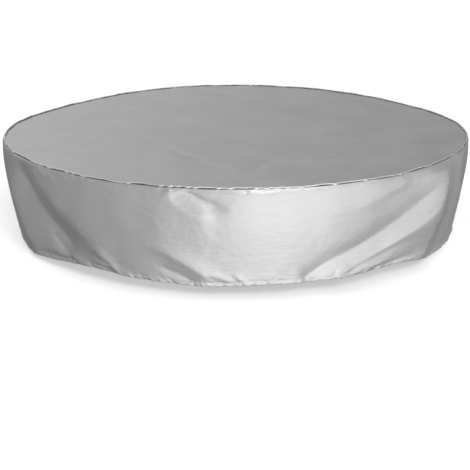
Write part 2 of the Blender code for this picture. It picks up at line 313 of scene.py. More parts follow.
# Azimuths where the rim seam puckers, seen at the front and spread at random over the rest
RIM_KNOTS = [-62, -47, -44, -38, -36, -33, -22, -15, 4, 6, 10, 27, 36, 58]
RIM_KNOTS += list(np.random.default_rng(KNOT_SEED).uniform(65, 295, 36))
PUCKERS_AT_A_KNOT = 4
BEAD_KNOTS = RIM_KNOTS + [-13, -11.5, -9.5, -8, -3.5, -1, 8, 13, 20]


def rim_puckers(seed):
    """Small puckers where the skirt is eased into the rim seam, in loose clusters."""
    rng = np.random.default_rng(seed)
    folds = []
    for centre in RIM_KNOTS:
        for _ in range(PUCKERS_AT_A_KNOT):
            azimuth = centre + rng.uniform(-1.6, 1.6)
            lean = rng.uniform(0.4, 2.8) * rng.choice([-1, 1, 1])
            tall = rng.uniform(0.015, 0.06)
            points = [(azimuth, -0.01), (azimuth + lean, tall)]
            height = rng.choice([-1, 1]) * rng.uniform(0.001, 0.0026)
            width = rng.uniform(0.0032, 0.006)
            folds.append(Fold(on_skirt(points), height, (width, width), 1.5, (0, 0.7), 6))
    return folds


SKIRT_FOLDS = FRONT_FOLDS + wandering_folds(WANDER_SEED, 99, 261, 22) + gathers(GATHER_SEED)


# ---- the cover's shape
# Where the rim strays from a level circle, outwards and upwards: metres, then degrees of its
# centre and width
RIM_OUT = ((-0.012, -112, 18), (-0.008, 117, 20), (-0.007, -50, 18), (0.006, 28, 14))
RIM_UP = ((0.009, -168, 30), (0.003, 158, 22), (-0.01, -124, 24), (-0.006, 120, 22))
# How far the hem rides up between the front and the two sides
HEM_UP = ((0.014, 31, 16), (0.009, -30, 19))


def bulges(azimuth, table):
    return sum(size * bell(turn_apart(azimuth, centre), 0, width) for size, centre, width in table)


def rim_shift(azimuth):
    """How far the rim strays from a level circle: (outwards, upwards) in metres."""
    out, up = bulges(azimuth, RIM_OUT), bulges(azimuth, RIM_UP)
    out = out + 0.0008 * np.sin(azimuth * 23 + 1.0) + 0.0006 * np.sin(azimuth * 41)
    return out, up + 0.0006 * np.sin(azimuth * 17) + 0.0005 * np.sin(azimuth * 38 + 2.0)


def hem_lift(azimuth):
    """How far the hem rides up, with its small waves."""
    waves = 0.002 * np.sin(azimuth * 9 + 0.6) + 0.0013 * np.sin(azimuth * 19)
    return bulges(azimuth, HEM_UP) + waves


def skirt_outline(azimuth, drop):
    """Smooth outer surface of the skirt as (radius, height), with no folds on it."""
    s = np.clip(drop, 0, 1)
    radius = RIM_RADIUS * (1 + SWELL * s + DRAW_IN * s ** 2 + EASE * s ** 3)
    z = -SKIRT_DROP * drop
    front_end, side_start = math.sin(math.radians(35)), math.sin(math.radians(70))
    side = smooth_step(front_end, side_start, np.abs(np.sin(azimuth)))
    z = z - SIDE_DROP * side * smooth_step(0.03, 0.28, -z)
    z = z + hem_lift(azimuth) * smooth_step(0.1, 1.0, drop)
    out, up = rim_shift(azimuth)
    radius = radius + out * (1 - 0.75 * smooth_step(0.0, 0.8, drop))
    return radius, z + up * (1 - smooth_step(0.0, 0.9, drop))


def round_noise(x, y, scale_x, scale_y, seed):
    """Layered noise on the unrolled skirt that meets itself behind the cover."""
    here = layered_noise(x / scale_x, y / scale_y, seed)
    again = layered_noise((x - RIM_LENGTH) / scale_x, y / scale_y, seed)
    blend = smooth_step(RIM_LENGTH / 2 - 0.25, RIM_LENGTH / 2, x)
    return here * (1 - blend) + again * blend


def summed(folds, x, y):
    """The relief of many folds on the unrolled skirt, which closes on itself behind the cover."""
    total = np.zeros_like(x)
    overlap = 0.4          # metres past the joining line that a fold may reach
    for fold in folds:
        for turn in (-1, 0, 1):
            if abs(fold.line[:, 0].mean() + turn * RIM_LENGTH) < RIM_LENGTH / 2 + overlap:
                total += fold.relief(x - turn * RIM_LENGTH, y)
    return total


def draw_relief():
    """The folded cloth's height over the smooth skirt, as a grid of drop by azimuth."""
    azimuth = np.linspace(-math.pi, math.pi, RELIEF_COLUMNS)
    drop = np.linspace(0.0, 1.0, RELIEF_ROWS)
    x, y = np.meshgrid(azimuth * RIM_RADIUS, drop * SKIRT_DROP)
    down = y / SKIRT_DROP
    folds = summed(SKIRT_FOLDS, x, y) * smooth_step(0.0, 0.08, down) ** 0.6
    folds += summed(rim_puckers(PUCKER_SEED), x, y) * smooth_step(0.0, 0.015, down)

    slack = SLACK * round_noise(x, y, 0.34, 0.3, SLACK_SEED)
    creases = 1 - np.abs(round_noise(x + y * 0.4, y, 0.085, 0.06, CREASE_SEED))
    ripples = round_noise(x, y, 0.02, 0.008, RIPPLE_SEED)
    fine = CREASE * creases ** 3 + RIPPLE * ripples

    # The side seams: a narrow groove with puckered cloth on both sides of it
    to_seam = np.abs(np.abs(x) - math.pi / 2 * RIM_RADIUS)
    pucker = 1 + 0.6 * round_noise(x * 0, y, 1.0, 0.022, SEAM_SEED)
    groove, shoulder = bell(to_seam, 0, 0.0022), bell(to_seam, 0.008, 0.006)
    seam = -GROOVE * groove + SHOULDER * pucker * shoulder

    # The hem's channel: its stitching pulls in, and the elastic fills it out below
    above_hem = SKIRT_DROP - y
    crimp = round_noise(x, y * 0, 0.0075, 1.0, CRIMP_SEED)
    stitched, filled = bell(above_hem, HEM_CHANNEL, 0.003), bell(above_hem, 0.007, 0.007)
    channel = (-CHANNEL_DENT * stitched + CHANNEL_SWELL * filled) * (1 + 0.5 * crimp)
    channel = channel + CRIMP * crimp * smooth_step(0.026, 0.014, above_hem)

    # The cloth's turn under the piping
    roll = ROLL * (1 - bell(y, 0, 0.006)) * np.exp(-y / 0.05)
    return folds + (slack + fine + seam) * smooth_step(0.0, 0.05, down) + channel + roll


RELIEF = draw_relief()


def skirt_relief(azimuth, drop):
    """Read the relief grid at any azimuth and drop."""
    rows, columns = RELIEF.shape
    u = ((azimuth + math.pi) % (2 * math.pi)) / (2 * math.pi) * (columns - 1)
    v = np.clip(drop, 0, 1) * (rows - 1)
    i, j = np.minimum(u.astype(int), columns - 2), np.minimum(v.astype(int), rows - 2)
    fu, fv = u - i, v - j
    upper = RELIEF[j, i] * (1 - fu) + RELIEF[j, i + 1] * fu
    lower = RELIEF[j + 1, i] * (1 - fu) + RELIEF[j + 1, i + 1] * fu
    return upper * (1 - fv) + lower * fv


def round_points(azimuth, radius, z):
    """World points at azimuths and radii about the cover's upright axis."""
    return stacked(radius * np.sin(azimuth), -radius * np.cos(azimuth), z)


def skirt_points(azimuth, drop, inset=0.0, rise=0.0):
    """World points on the folded skirt, moved in by inset and up by rise."""
    azimuth, drop, inset, rise = np.broadcast_arrays(azimuth, drop, inset, rise)
    radius, z = skirt_outline(azimuth, drop)
    return round_points(azimuth, radius + skirt_relief(azimuth, drop) - inset, z + rise)


def rim_points(azimuth, inset, height):
    """World points in the rim seam, inset from the rim and up by height."""
    azimuth, inset, height = np.broadcast_arrays(azimuth, inset, height)
    out, up = rim_shift(azimuth)
    return round_points(azimuth, RIM_RADIUS + out - inset, height + up)


# ---- the top's shape
# Two soft creases that run to one point at the front edge, and the small dents beside them: each
# row is a line of (x, y) points, then its fold's shape
TOP_STROKES = [
    ([(-0.6, 0.22), (-0.41, -0.08), (-0.29, -0.28), (-0.19, -0.45), (-0.095, -0.586),
      (-0.01, -0.68)],
     -0.0024, (0.008, 0.024), 0.95, (0.25, 0.12)),
    ([(-0.22, -0.815), (-0.11, -0.798), (-0.035, -0.78), (0.048, -0.703), (0.094, -0.588),
      (0.156, -0.478), (0.231, -0.38)],
     -0.0034, (0.009, 0.02), 0.95, (0.15, 0.3), 36),
    ([(-0.22, -0.4), (-0.17, -0.46), (-0.1, -0.53)], -0.003, (0.01, 0.014), 1.2),
    ([(-0.02, -0.24), (0.06, -0.18), (0.16, -0.12)], -0.002, (0.016, 0.022), 1.3),
    ([(-0.19, -0.33), (-0.13, -0.28), (-0.07, -0.25)], -0.0016, (0.012, 0.016), 1.3),
    ([(0.22, -0.4), (0.3, -0.44), (0.36, -0.5)], -0.002, (0.014, 0.02), 1.3),
    ([(0.33, -0.25), (0.45, -0.22), (0.58, -0.25)], 0.0016, (0.03, 0.022), 1.5),
    ([(-0.16, 0.82), (-0.06, 0.79), (0.06, 0.8)], 0.004, (0.03, 0.03), 1.6),
    ([(-0.66, 0.45), (-0.5, 0.25), (-0.42, 0.06)], 0.0016, (0.04, 0.04), 1.6),
    ([(0.5, 0.55), (0.35, 0.3), (0.3, 0.1)], -0.0015, (0.035, 0.035), 1.6),
    ([(-0.75, -0.05), (-0.6, -0.12), (-0.45, -0.1)], 0.0014, (0.03, 0.03), 1.6),
]
EDGE_PUCKERS = 130


def edge_puckers(seed):
    """Short creases that start at the rim seam and run in over the top."""
    rng = np.random.default_rng(seed)
    folds = []
    for _ in range(EDGE_PUCKERS):
        azimuth = math.radians(rng.uniform(-180, 180))
        lean, length = rng.uniform(-0.03, 0.03), rng.uniform(0.015, 0.06)
        outer, inner = TOP_EDGE - 0.001, TOP_EDGE - length
        points = [(outer * math.sin(azimuth), -outer * math.cos(azimuth)),
                  (inner * math.sin(azimuth + lean), -inner * math.cos(azimuth + lean))]
        height = rng.choice([-1, 1]) * rng.uniform(0.0005, 0.0016)
        width = rng.uniform(0.004, 0.009)
        folds.append(Fold(points, height, (width, width), 1.5, (0, 0.7), 6))
    return folds


TOP_FOLDS = [Fold(line, *shape) for line, *shape in TOP_STROKES] + edge_puckers(EDGE_SEED)


def top_lift(x, y):
    """How far the top cloth lies above a flat top: slack, soft creases and the joining seam."""
    share = np.clip(np.hypot(x, y) / TOP_EDGE, 0, 1)
    _, up = rim_shift(np.arctan2(x, -y))
    lift = np.zeros_like(x)
    for fold in TOP_FOLDS:
        lift += fold.relief(x, y)
    slack = TOP_SLACK * layered_noise(x / 0.42 + 4.0, y / 0.36 + 9.0, TOP_SLACK_SEED)
    drawn = TOP_YARNS * layered_noise(x / 0.2, y / 0.03, TOP_YARN_SEED)
    crease = 1 - np.abs(layered_noise(x / 0.16 + y * 2, y / 0.12, TOP_CREASE_SEED))
    to_seam = np.abs(y - TOP_SEAM_Y)
    ridge = TOP_RIDGE * bell(to_seam, 0.006, 0.004) - TOP_GROOVE * bell(to_seam, 0, 0.002)
    free = 1 - smooth_step(0.965, 1.0, share)
    return (lift + slack + drawn + TOP_CREASE * crease ** 3 + ridge) * free + up * share ** 6


# ---- meshes from point grids
def new_object(name, data):
    made = bpy.data.objects.new(name, data)
    bpy.context.scene.collection.objects.link(made)
    return made


def new_mesh(name, points, faces):
    mesh = bpy.data.meshes.new(name)
    mesh.from_pydata(points, [], faces)
    return mesh


def grid_mesh(name, points, uv, wrap=False):
    """A mesh of quads over a rows-by-columns grid of points, with its flat-cloth UVs in metres."""
    rows, columns = points.shape[:2]
    index = np.arange(rows * columns).reshape(rows, columns)
    left, right = (index, np.roll(index, -1, axis=1)) if wrap else (index[:, :-1], index[:, 1:])
    quads = np.stack([left[:-1], left[1:], right[1:], right[:-1]], -1).reshape(-1, 4)
    mesh = new_mesh(name, points.reshape(-1, 3).tolist(), quads.tolist())
    set_uv(mesh, uv.reshape(-1, 2))
    mesh.shade_smooth()
    return new_object(name, mesh)


def set_uv(mesh, uv):
    """One UV per vertex, in metres of flat cloth."""
    layer = mesh.uv_layers.new(name="cloth") if not mesh.uv_layers else mesh.uv_layers[0]
    corner = np.zeros(len(mesh.loops), int)
    mesh.loops.foreach_get("vertex_index", corner)
    layer.data.foreach_set("uv", uv[corner].astype(np.float32).ravel())


def apply_modifiers(piece):
    """Replace a piece's mesh with its mesh after all its modifiers."""
    graph = bpy.context.evaluated_depsgraph_get()
    made = bpy.data.meshes.new_from_object(piece.evaluated_get(graph), depsgraph=graph)
    old = piece.data
    piece.modifiers.clear()
    piece.data = made
    bpy.data.meshes.remove(old)
    made.name = piece.name


def finish_piece(piece, materials, thickness, slot, *nodes):
    """Thicken a sheet about its mid-surface, give it its materials, put it under the root body and
    hide the named parts of the imported model.

    The second material, where there is one, goes on the inner face.
    """
    for material in materials:
        piece.data.materials.append(material)
    if thickness:
        solid = piece.modifiers.new("thickness", "SOLIDIFY")
        solid.thickness, solid.offset = thickness, 0.0
        if len(materials) > 1:
            solid.material_offset, solid.material_offset_rim = LINING, SILVER
        apply_modifiers(piece)
    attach(piece, "root")
    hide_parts(*nodes)


def unit(vectors):
    return vectors / np.linalg.norm(vectors, axis=1, keepdims=True)


def path_lengths(points):
    """How far along the cloth each row of a grid lies, measured down its middle column."""
    middle = points[:, points.shape[1] // 2]
    return np.concatenate([[0.0], np.cumsum(np.linalg.norm(np.diff(middle, axis=0), axis=1))])


# ---- materials
def new_material(name, color, roughness, metallic=0.0, specular=0.5):
    material = bpy.data.materials.new(name)
    material.use_nodes = True
    shader = material.node_tree.nodes["Principled BSDF"]
    shader.inputs["Base Color"].default_value = (*color, 1.0)
    shader.inputs["Roughness"].default_value = roughness
    shader.inputs["Metallic"].default_value = metallic
    shader.inputs["Specular IOR Level"].default_value = specular
    return material, material.node_tree, shader


def add_node(tree, kind, inputs, output, **settings):
    """A shader node with its settings and inputs, where an input is a value or a node's output."""
    node = tree.nodes.new("ShaderNode" + kind)
    for key, value in settings.items():
        setattr(node, key, value)
    for key, value in inputs.items():
        if isinstance(value, bpy.types.NodeSocket):
            tree.links.new(value, node.inputs[key])
        else:
            node.inputs[key].default_value = value
    return node.outputs[output]


def link_noise(tree, vector, scale, detail, roughness=0.55):
    inputs = {"Vector": vector, "Scale": scale, "Detail": detail, "Roughness": roughness}
    return add_node(tree, "TexNoise", inputs, "Fac")


def stretched_noise(tree, vector, stretch, detail, roughness=0.55):
    vector = add_node(tree, "Mapping", {"Vector": vector, "Scale": stretch}, "Vector")
    return link_noise(tree, vector, 1.0, detail, roughness)


def scaled(tree, value, low, high, to_low=0.0, to_high=1.0):
    inputs = {"Value": value, "From Min": low, "From Max": high,
              "To Min": to_low, "To Max": to_high}
    return add_node(tree, "MapRange", inputs, "Result")


def maths(tree, operation, a, b):
    return add_node(tree, "Math", {0: a, 1: b}, "Value", operation=operation)


def paint(tree, shader, fac, tones):
    """Colour a material between its darkest and lightest tones."""
    dark, light = [(*tone, 1.0) for tone in tones[:2]]
    inputs = {"A": dark, "B": light, "Factor": fac}
    color = add_node(tree, "Mix", inputs, "Result", data_type="RGBA")
    tree.links.new(color, shader.inputs["Base Color"])


def bump(tree, shader, height, distance, strength, under=None):
    inputs = {"Distance": distance, "Strength": strength, "Height": height}
    if under is not None:
        inputs["Normal"] = under
    normal = add_node(tree, "Bump", inputs, "Normal")
    tree.links.new(normal, shader.inputs["Normal"])
    return normal


def object_vector(tree):
    return add_node(tree, "TexCoord", {}, "Object")


def cloth_vector(tree):
    return add_node(tree, "UVMap", {}, "UV", uv_map="cloth")


WAVE_SCALE = 0.314         # scale times period of Blender's band wave
WEAVE_PITCH, TAPE_PITCH, FILLER_PITCH, ELASTIC_PITCH = 0.0016, 0.0012, 0.0012, 0.0014
# Darkest, lightest and plain tone of each material
SILVER_TONES = (0.52, 0.52, 0.525), (0.63, 0.63, 0.635), (0.6, 0.6, 0.6)
# The piping's tones are lighter than the silver cloth's: painted highlight along the bead
PIPING_HIGHLIGHT_TONES = (0.68, 0.68, 0.685), (0.8, 0.8, 0.805), (0.6, 0.6, 0.6)
LINING_TONES = (0.36, 0.37, 0.38), (0.46, 0.47, 0.48), (0.42, 0.43, 0.44)
THREAD_TONES = (0.46, 0.47, 0.48), (0.64, 0.65, 0.66), (0.55, 0.56, 0.57)
TAPE_TONES = (0.25, 0.26, 0.27), (0.36, 0.37, 0.38), (0.3, 0.31, 0.32)
FILLER_TONES = (0.55, 0.55, 0.53), (0.78, 0.78, 0.76), (0.78, 0.78, 0.76)
ELASTIC_TONES = (0.02, 0.02, 0.022), (0.09, 0.09, 0.095), (0.09, 0.09, 0.095)
FLOOR_TONES = (0.93, 0.93, 0.93), (0.95, 0.95, 0.95), (0.94, 0.94, 0.94)
BACKDROP_TONES = (0.88, 0.88, 0.88), (0.92, 0.92, 0.92), (0.9, 0.9, 0.9)
# Painted shade: the dark tone of the piping's neck stands in for the shadow in the groove under the
# bead
NECK_PAINTED_SHADE, WHITE = (0.13, 0.13, 0.135), (1.0, 1.0, 1.0, 1.0)


def weave_height(tree, vector, pitch):
    """Plain weave: two crossing sets of threads, the given pitch apart."""
    inputs = {"Vector": vector, "Scale": WAVE_SCALE / pitch, "Distortion": 0.6, "Detail": 1.0,
              "Detail Scale": 0.3}
    bands = [add_node(tree, "TexWave", inputs, "Fac", bands_direction=axis) for axis in ("X", "Y")]
    return maths(tree, "MAXIMUM", *bands)


def silver_cloth(name, tones):
    """The coated outer face: satin silver over a plain weave, with drawn yarns and crumpling."""
    material, tree, shader = new_material(name, tones[2], 0.4, metallic=0.6)
    vector = cloth_vector(tree)
    yarns = stretched_noise(tree, vector, (6.0, 170.0, 1.0), 3.0)
    streaks = stretched_noise(tree, vector, (7.0, 60.0, 1.0), 3.0)
    crumple = stretched_noise(tree, vector, (26.0, 34.0, 1.0), 4.0, 0.6)
    patches = link_noise(tree, vector, 4.5, 3.0)
    grain = link_noise(tree, vector, 260.0, 2.0)
    shares = [maths(tree, "MULTIPLY", part, share)
              for part, share in ((yarns, 0.2), (patches, 0.4), (grain, 0.4))]
    tone = maths(tree, "ADD", maths(tree, "ADD", shares[0], shares[1]), shares[2])
    paint(tree, shader, scaled(tree, tone, 0.35, 0.65), tones)
    tree.links.new(scaled(tree, patches, 0.3, 0.7, 0.37, 0.46), shader.inputs["Roughness"])
    normal = bump(tree, shader, crumple, 0.0016, 0.24)
    normal = bump(tree, shader, streaks, 0.0024, 0.36, normal)
    normal = bump(tree, shader, yarns, 0.0004, 0.35, normal)
    normal = bump(tree, shader, grain, 0.0011, 0.6, normal)
    bump(tree, shader, weave_height(tree, vector, WEAVE_PITCH), 0.00012, 0.5, normal)
    return material


def woven(name, tones, roughness, specular, pitch, distance, strength, yarns=None):
    """A matt weave or braid, toned by its threads, or by yarns: their stretch, detail and range."""
    material, tree, shader = new_material(name, tones[2], roughness, specular=specular)
    vector = cloth_vector(tree)
    height = fac = weave_height(tree, vector, pitch)
    if yarns:
        stretch, detail, low, high = yarns
        fac = scaled(tree, stretched_noise(tree, vector, stretch, detail), low, high)
    paint(tree, shader, fac, tones)
    bump(tree, shader, height, distance, strength)
    return material


def twisted(name, tones):
    """Sewing thread, toned and dented by its twist."""
    material, tree, shader = new_material(name, tones[2], 0.55)
    twist = link_noise(tree, object_vector(tree), 900.0, 2.0)
    paint(tree, shader, twist, tones)
    bump(tree, shader, twist, 0.0001, 0.5)
    return material


silver = silver_cloth("silver_cloth", SILVER_TONES)
lining = woven("lining_cloth", LINING_TONES, 0.75, 0.3, WEAVE_PITCH, 0.00015, 0.6,
               ((8.0, 160.0, 1.0), 3.0, 0.3, 0.7))
thread = twisted("thread", THREAD_TONES)
tape = woven("seam_tape", TAPE_TONES, 0.7, 0.4, TAPE_PITCH, 0.0002, 0.7,
             ((60.0, 500.0, 1.0), 2.0, 0.0, 1.0))
# Painted highlight: the piping is the silver cloth made lighter
piping_cloth = silver_cloth("piping_cloth", PIPING_HIGHLIGHT_TONES)
# Painted shade: dark matt cloth on the piping's neck, for the shadow under its bead
neck_painted_shade = new_material("piping_neck_painted_shade", NECK_PAINTED_SHADE, 0.8, specular=0.2)[0]
white_braid = woven("filler_cord", FILLER_TONES, 0.8, 0.3, FILLER_PITCH, 0.0003, 0.8)
black_braid = woven("elastic_braid", ELASTIC_TONES, 0.8, 0.3, ELASTIC_PITCH, 0.0003, 0.8)


# ---- the skirt
def skirt_rows():
    """The skirt's cloth from its raw edge in the rim seam, down outside and up in the hem.

    Each row says where it hangs on the skirt, and how far it is moved in and up from there.
    """
    half = CLOTH / 2
    turn = (SKIRT_ALLOWANCE - half) / 2
    rows = [(0.0, SKIRT_ALLOWANCE, -SEAM_ALLOWANCE), (0.0, SKIRT_ALLOWANCE, -turn)]
    for a in np.radians((140, 100, 60, 20)):
        rows.append((0.0, half + turn * (1 - math.cos(a)), turn * (math.sin(a) - 0.6)))
    hem = 1 - (HEM_TURN_RADIUS + half) / SKIRT_DROP
    first = 0.003
    for share in np.linspace(0, 1, SKIRT_ROWS):
        spread = 0.55 * share + 0.225 * (1 - math.cos(math.pi * share))   # closer near rim and hem
        rows.append((first + (hem - first) * spread, half, 0.0))
    bend = HEM_TURN_RADIUS
    for a in np.radians((-30, -60, -90, -120, -150, -180)):
        rows.append((hem, half + bend * (1 - math.cos(a)), bend * math.sin(a)))
    turned_in = (0.008, 0.0045), (0.012, 0.0022), (HEM_CHANNEL, 0.0012), (HEM_EDGE, 0.0015)
    for height, gap in turned_in:
        rows.append((1 - height / SKIRT_DROP, half + gap, 0.0))
    return as_columns(rows)


def make_skirt():
    """Two halves, joined by seams at the cover's left and right."""
    near_seam = np.array([0.00015, 0.0012, 0.0026, 0.0042, 0.0062, 0.009]) / RIM_RADIUS
    inner = np.linspace(near_seam[-1], math.pi - near_seam[-1], SKIRT_COLUMNS)
    across = np.concatenate([near_seam[:-1], inner, math.pi - near_seam[-2::-1]])
    for name, start in (("skirt_front", -math.pi / 2), ("skirt_rear", math.pi / 2)):
        azimuth = start + across[None, :]
        drop, inset, rise = skirt_rows()
        points = skirt_points(azimuth, drop, inset, rise)
        path = path_lengths(points)
        uv = stacked(azimuth * RIM_RADIUS, -path[:, None])
        piece = grid_mesh(name + "_cloth", points, uv)
        finish_piece(piece, (silver, lining), CLOTH, "cover_cloth", name)


# ---- the top
def top_disc():
    """The flat top's edge-to-centre rows as (radius, height), ending in its turned-down flange."""
    turn = 0.0013
    spread = 1 - (1 - np.linspace(0, 1, TOP_RINGS + 1)[1:]) ** 1.5
    rows = [(r, CLOTH / 2 + TOP_RISE) for r in (TOP_EDGE - turn) * spread]
    for a in np.radians((60, 30, 0)):
        rows.append((TOP_EDGE - turn + turn * math.cos(a), TOP_LEVEL - turn + turn * math.sin(a)))
    rows.append((TOP_EDGE, -SEAM_ALLOWANCE))
    return rows


def cut_top(mesh, rows, keep_rear):
    """Close the disc's centre, cut it along the joining seam and keep the part on one side."""
    builder = bmesh.new()
    builder.from_mesh(mesh)
    if not keep_rear:
        first = [v for v in builder.verts if math.hypot(v.co.x, v.co.y) < rows[0][0] * 1.01]
        first.sort(key=lambda v: math.atan2(v.co.y, v.co.x))
        centre = builder.verts.new((0, 0, rows[0][1]))
        for a, b in zip(first, first[1:] + first[:1]):
            builder.faces.new((centre, a, b))
    side = 1 if keep_rear else -1
    for reach in NEAR_TOP_SEAM:
        bmesh.ops.bisect_plane(
            builder, geom=builder.verts[:] + builder.edges[:] + builder.faces[:], dist=1e-5,
            plane_co=(0, TOP_SEAM_Y + side * reach, 0), plane_no=(0, -side, 0),
            clear_outer=reach == NEAR_TOP_SEAM[-1],
        )
    bmesh.ops.recalc_face_normals(builder, faces=builder.faces)
    builder.to_mesh(mesh)
    builder.free()


def shape_top(mesh):
    """Give the flat cloth its UVs, then its relief and the rim's stray."""
    co = np.zeros(len(mesh.vertices) * 3)
    mesh.vertices.foreach_get("co", co)
    co = co.reshape(-1, 3)
    x, y = co[:, 0].copy(), co[:, 1].copy()
    out, _ = rim_shift(np.arctan2(x, -y))
    reach = np.hypot(x, y)
    outer = np.maximum(reach, 0.1)     # never zero, for the divisions
    down = np.clip(TOP_LEVEL - co[:, 2], 0, None)
    set_uv(mesh, np.stack([x, y], -1) * (1 + down / outer)[:, None])
    co[:, 2] += top_lift(x, y)
    co[:, :2] *= (1 + out * (reach / TOP_EDGE) ** 6 / outer)[:, None]
    mesh.vertices.foreach_set("co", co.ravel())
    mesh.shade_smooth()


def make_top():
    """The top cloth in two pieces, whose edge turns down into the rim seam."""
    rows = top_disc()
    azimuth = full_turn(TOP_COLUMNS)[None, :]
    radius, height = as_columns(rows)
    points = round_points(azimuth, radius, height)
    for name, keep_rear in (("top_panel_main", False), ("top_panel_rear", True)):
        piece = grid_mesh(name + "_cloth", points, points[..., :2], wrap=True)
        cut_top(piece.data, rows, keep_rear)
        shape_top(piece.data)
        finish_piece(piece, (silver, lining), CLOTH, "cover_cloth", name)


# ---- what runs round the rim and the hem
def ring_sheet(name, outline, columns, materials, thickness, slot, node, wander=None,
               neck=None):
    """A strip that runs all round in the rim seam: its section is given as (inset, height) points.

    Faces lower than the given height take the second material: painted shade for the groove under
    the piping's bead.
    """
    azimuth = full_turn(columns)[None, :]
    inset, height = as_columns(outline)
    if wander is not None:
        inset, height = wander(azimuth, inset, height)
    points = rim_points(azimuth, inset, height)
    path = path_lengths(points)
    uv = stacked(azimuth * RIM_RADIUS, path[:, None])
    piece = grid_mesh(name, points, uv, wrap=True)
    for material in materials:
        piece.data.materials.append(material)
    if neck is not None:
        middle = [(a + b) / 2 for (_, a), (_, b) in zip(outline, outline[1:])]
        second = np.array([int(z < neck) for z in middle])
        piece.data.polygons.foreach_set("material_index", np.repeat(second, columns))
    finish_piece(piece, (), thickness, slot, node)


def tube(name, points, radius, material, slot, node):
    """A closed tube along a closed loop of points."""
    ahead = unit(np.roll(points, -1, axis=0) - np.roll(points, 1, axis=0))
    outward = unit(points * [1, 1, 0])
    upward = unit(np.cross(outward, ahead))
    turns = np.linspace(0, 2 * math.pi, CORD_SIDES + 1)
    rings = [points + radius * (outward * math.cos(a) + upward * math.sin(a)) for a in turns]
    along = np.linspace(0, RIM_LENGTH, len(points))
    uv = stacked(along[None, :], radius * turns[:, None])
    piece = grid_mesh(name, np.stack(rings), uv, wrap=True)
    builder = bmesh.new()
    builder.from_mesh(piece.data)
    bmesh.ops.remove_doubles(builder, verts=builder.verts, dist=radius * 0.05)
    bmesh.ops.recalc_face_normals(builder, faces=builder.faces)
    builder.to_mesh(piece.data)
    builder.free()
    finish_piece(piece, (material,), 0, slot, node)


BEAD_FOOT, PAINTED_SHADE_TOP = 0.0016, 0.003   # heights where the bead starts and where the painted shade on its neck ends
KNOT_WIDTH = 0.45          # degrees


def bead_wander(azimuth, inset, height):
    """The piping's bead strays where the rim seam puckers; its flanges stay in the seam."""
    x = azimuth * RIM_RADIUS
    knots = sum(bell(turn_apart(azimuth, centre), 0, KNOT_WIDTH) for centre in BEAD_KNOTS)
    stray = 0.0014 * layered_noise(x / 0.045, x * 0, STRAY_SEED) - 0.0018 * knots
    swell = 1 + 0.16 * layered_noise(x / 0.016, x * 0, SWELL_SEED) + 0.6 * knots
    bead = height > BEAD_FOOT
    side = (inset - BEAD_INSET) * np.where(bead, swell, 1.0)
    rise = np.where(bead, BEAD_Z + (height - BEAD_Z) * swell + 0.8 * stray, height)
    return BEAD_INSET + side + np.where(bead, stray, 0.0), rise


def make_rim():
    """The piping with its filler cord, and the tape that binds the seam's raw edges."""
    slit = (PIPING_INNER - PIPING_OUTER) / 2
    start = math.degrees(math.asin(slit / BEAD_RADIUS))
    heights = [-SEAM_ALLOWANCE, -0.004, 0.0]
    outline = [(PIPING_OUTER, z) for z in heights]
    for a in np.radians(np.linspace(-90 + start, 270 - start, 13)):
        outline.append((BEAD_INSET - BEAD_RADIUS * math.cos(a), BEAD_Z + BEAD_RADIUS * math.sin(a)))
    outline += [(PIPING_INNER, z) for z in heights[::-1]]
    # Lighter cloth on the bead as painted highlight, and dark cloth on its neck as painted shade
    ring_sheet("rim_piping_strip", outline, PIPING_COLUMNS, (piping_cloth, neck_painted_shade),
               PIPING_CLOTH, "piping_cloth", "rim_piping",
               wander=bead_wander, neck=PAINTED_SHADE_TOP)

    azimuth = full_turn(CORD_COLUMNS)
    inset, height = bead_wander(azimuth, BEAD_INSET, BEAD_Z)
    tube("rim_filler_cord", rim_points(azimuth, inset, height), CORD_RADIUS, white_braid,
         "filler_cord", "rim_piping_cord")

    heights = [-SEAM_ALLOWANCE - GAP - TAPE / 2, -0.007, -0.0025]
    outline = [(BINDING_OUTER, z) for z in heights[::-1]]
    outline += [(BINDING_INNER, z) for z in heights]
    ring_sheet("rim_binding_tape", outline, BINDING_COLUMNS, (tape,), TAPE, "seam_tape",
               "rim_binding")


def make_elastic():
    azimuth = full_turn(ELASTIC_COLUMNS)
    drop = 1 - (HEM_TURN_RADIUS + CLOTH / 2) / SKIRT_DROP
    points = skirt_points(azimuth, drop, CLOTH / 2 + HEM_TURN_RADIUS)
    tube("hem_elastic_cord", points, ELASTIC_RADIUS, black_braid, "elastic", "hem_elastic")


# ---- tapes over the joining seams
def make_tapes():
    y = TOP_SEAM_Y + np.linspace(-0.5, 0.5, 9) * SEAM_TAPE_WIDTH
    half = math.sqrt((TOP_EDGE - 0.006) ** 2 - (TOP_SEAM_Y + SEAM_TAPE_WIDTH / 2) ** 2)
    across, along = np.meshgrid(np.linspace(-half, half, 260), y)
    points = stacked(across, along, top_lift(across, along) + TOP_RISE - GAP - TAPE / 2)
    piece = grid_mesh("top_seam_tape_strip", points, points[..., :2])
    finish_piece(piece, (tape,), TAPE, "seam_tape", "top_seam_tape")
    first, last = (SEAM_ALLOWANCE + 0.004) / SKIRT_DROP, 1 - (HEM_EDGE + 0.002) / SKIRT_DROP
    drops = np.linspace(first, last, 60)[:, None]
    for side, azimuth in SIDE_SEAMS:
        columns = azimuth + np.linspace(-0.5, 0.5, 11)[None, :] * SEAM_TAPE_WIDTH / RIM_RADIUS
        points = skirt_points(columns, drops, CLOTH + GAP + TAPE / 2)
        path = path_lengths(points)
        uv = stacked(columns * RIM_RADIUS, path[:, None])
        piece = grid_mesh(f"side_seam_tape_{side}_strip", points, uv)
        finish_piece(piece, (tape,), TAPE, "seam_tape", f"side_seam_tape_{side}")


# ---- stitches
# One stitch from end to end: share of its length, metres above the cloth, and girth
STITCH_SHAPE = ((-0.5, -0.00035, 0.45), (-0.36, 0.0001, 0.9), (0.0, 0.00022, 1.0),
                (0.36, 0.0001, 0.9), (0.5, -0.00035, 0.45))
STITCH_LENGTH = STITCH_PITCH * 0.8


